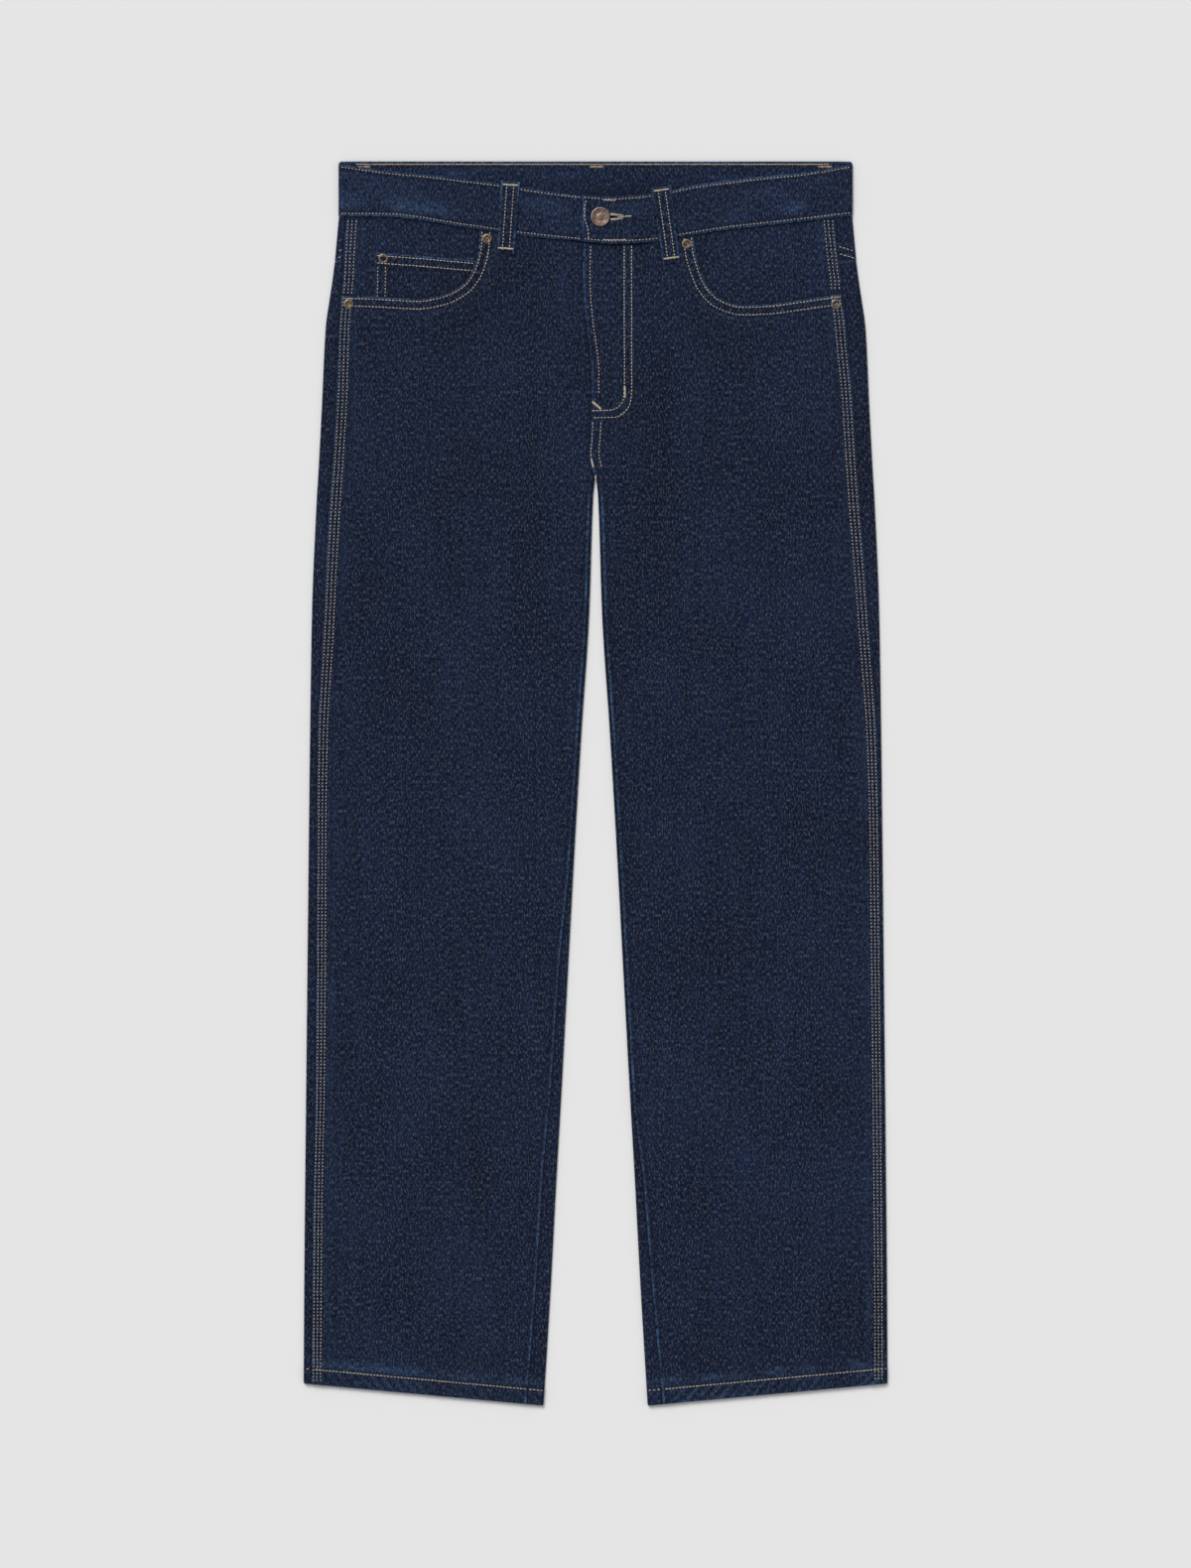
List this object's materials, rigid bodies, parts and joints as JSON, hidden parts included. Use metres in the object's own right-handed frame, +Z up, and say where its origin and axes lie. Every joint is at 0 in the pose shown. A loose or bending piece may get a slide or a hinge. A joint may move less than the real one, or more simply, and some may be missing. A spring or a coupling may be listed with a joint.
{
  "type": "straight leg jeans",
  "caption": "Dark indigo denim jeans with straight legs, laid flat with the front up, buttoned, with scoop pockets, a coin pocket and belt loops.",
  "frame": {"origin": "on the surface under the middle of the jeans: centre of the box in X and Y, its lowest face in Z", "axes": "+X to the wearer's left, +Y from the hems to the waist, +Z up from the surface, towards the jeans' front"},
  "size_m": [0.5, 1.065, 0.0093],
  "materials": {
    "denim": "dark indigo cotton twill with pale flecks, matte, paler on worn seam edges",
    "thread": "cream to tan topstitching thread, and golden thread inside the waistband",
    "button_metal": "dull antique copper, darker in the recess",
    "rivet_metal": "copper ring with a dark centre, dull"
  },
  "bodies": {
    "root": {"front_right": "denim", "front_left": "denim", "back_right": "denim", "back_left": "denim", "yoke_right": "denim", "yoke_left": "denim", "pocket_facing_right": "denim", "pocket_facing_left": "denim", "coin_pocket": "denim", "back_pocket_right": "denim", "back_pocket_left": "denim", "waistband": "denim", "belt_loop_front_right": "denim", "belt_loop_front_left": "denim", "belt_loop_back_right": "denim", "belt_loop_back_left": "denim", "belt_loop_back_centre": "denim", "button": "button_metal", "rivet_scoop_top_right": "rivet_metal", "rivet_coin_pocket": "rivet_metal", "rivet_scoop_side_right": "rivet_metal", "rivet_scoop_top_left": "rivet_metal", "rivet_scoop_side_left": "rivet_metal"}
  },
  "joints": []
}
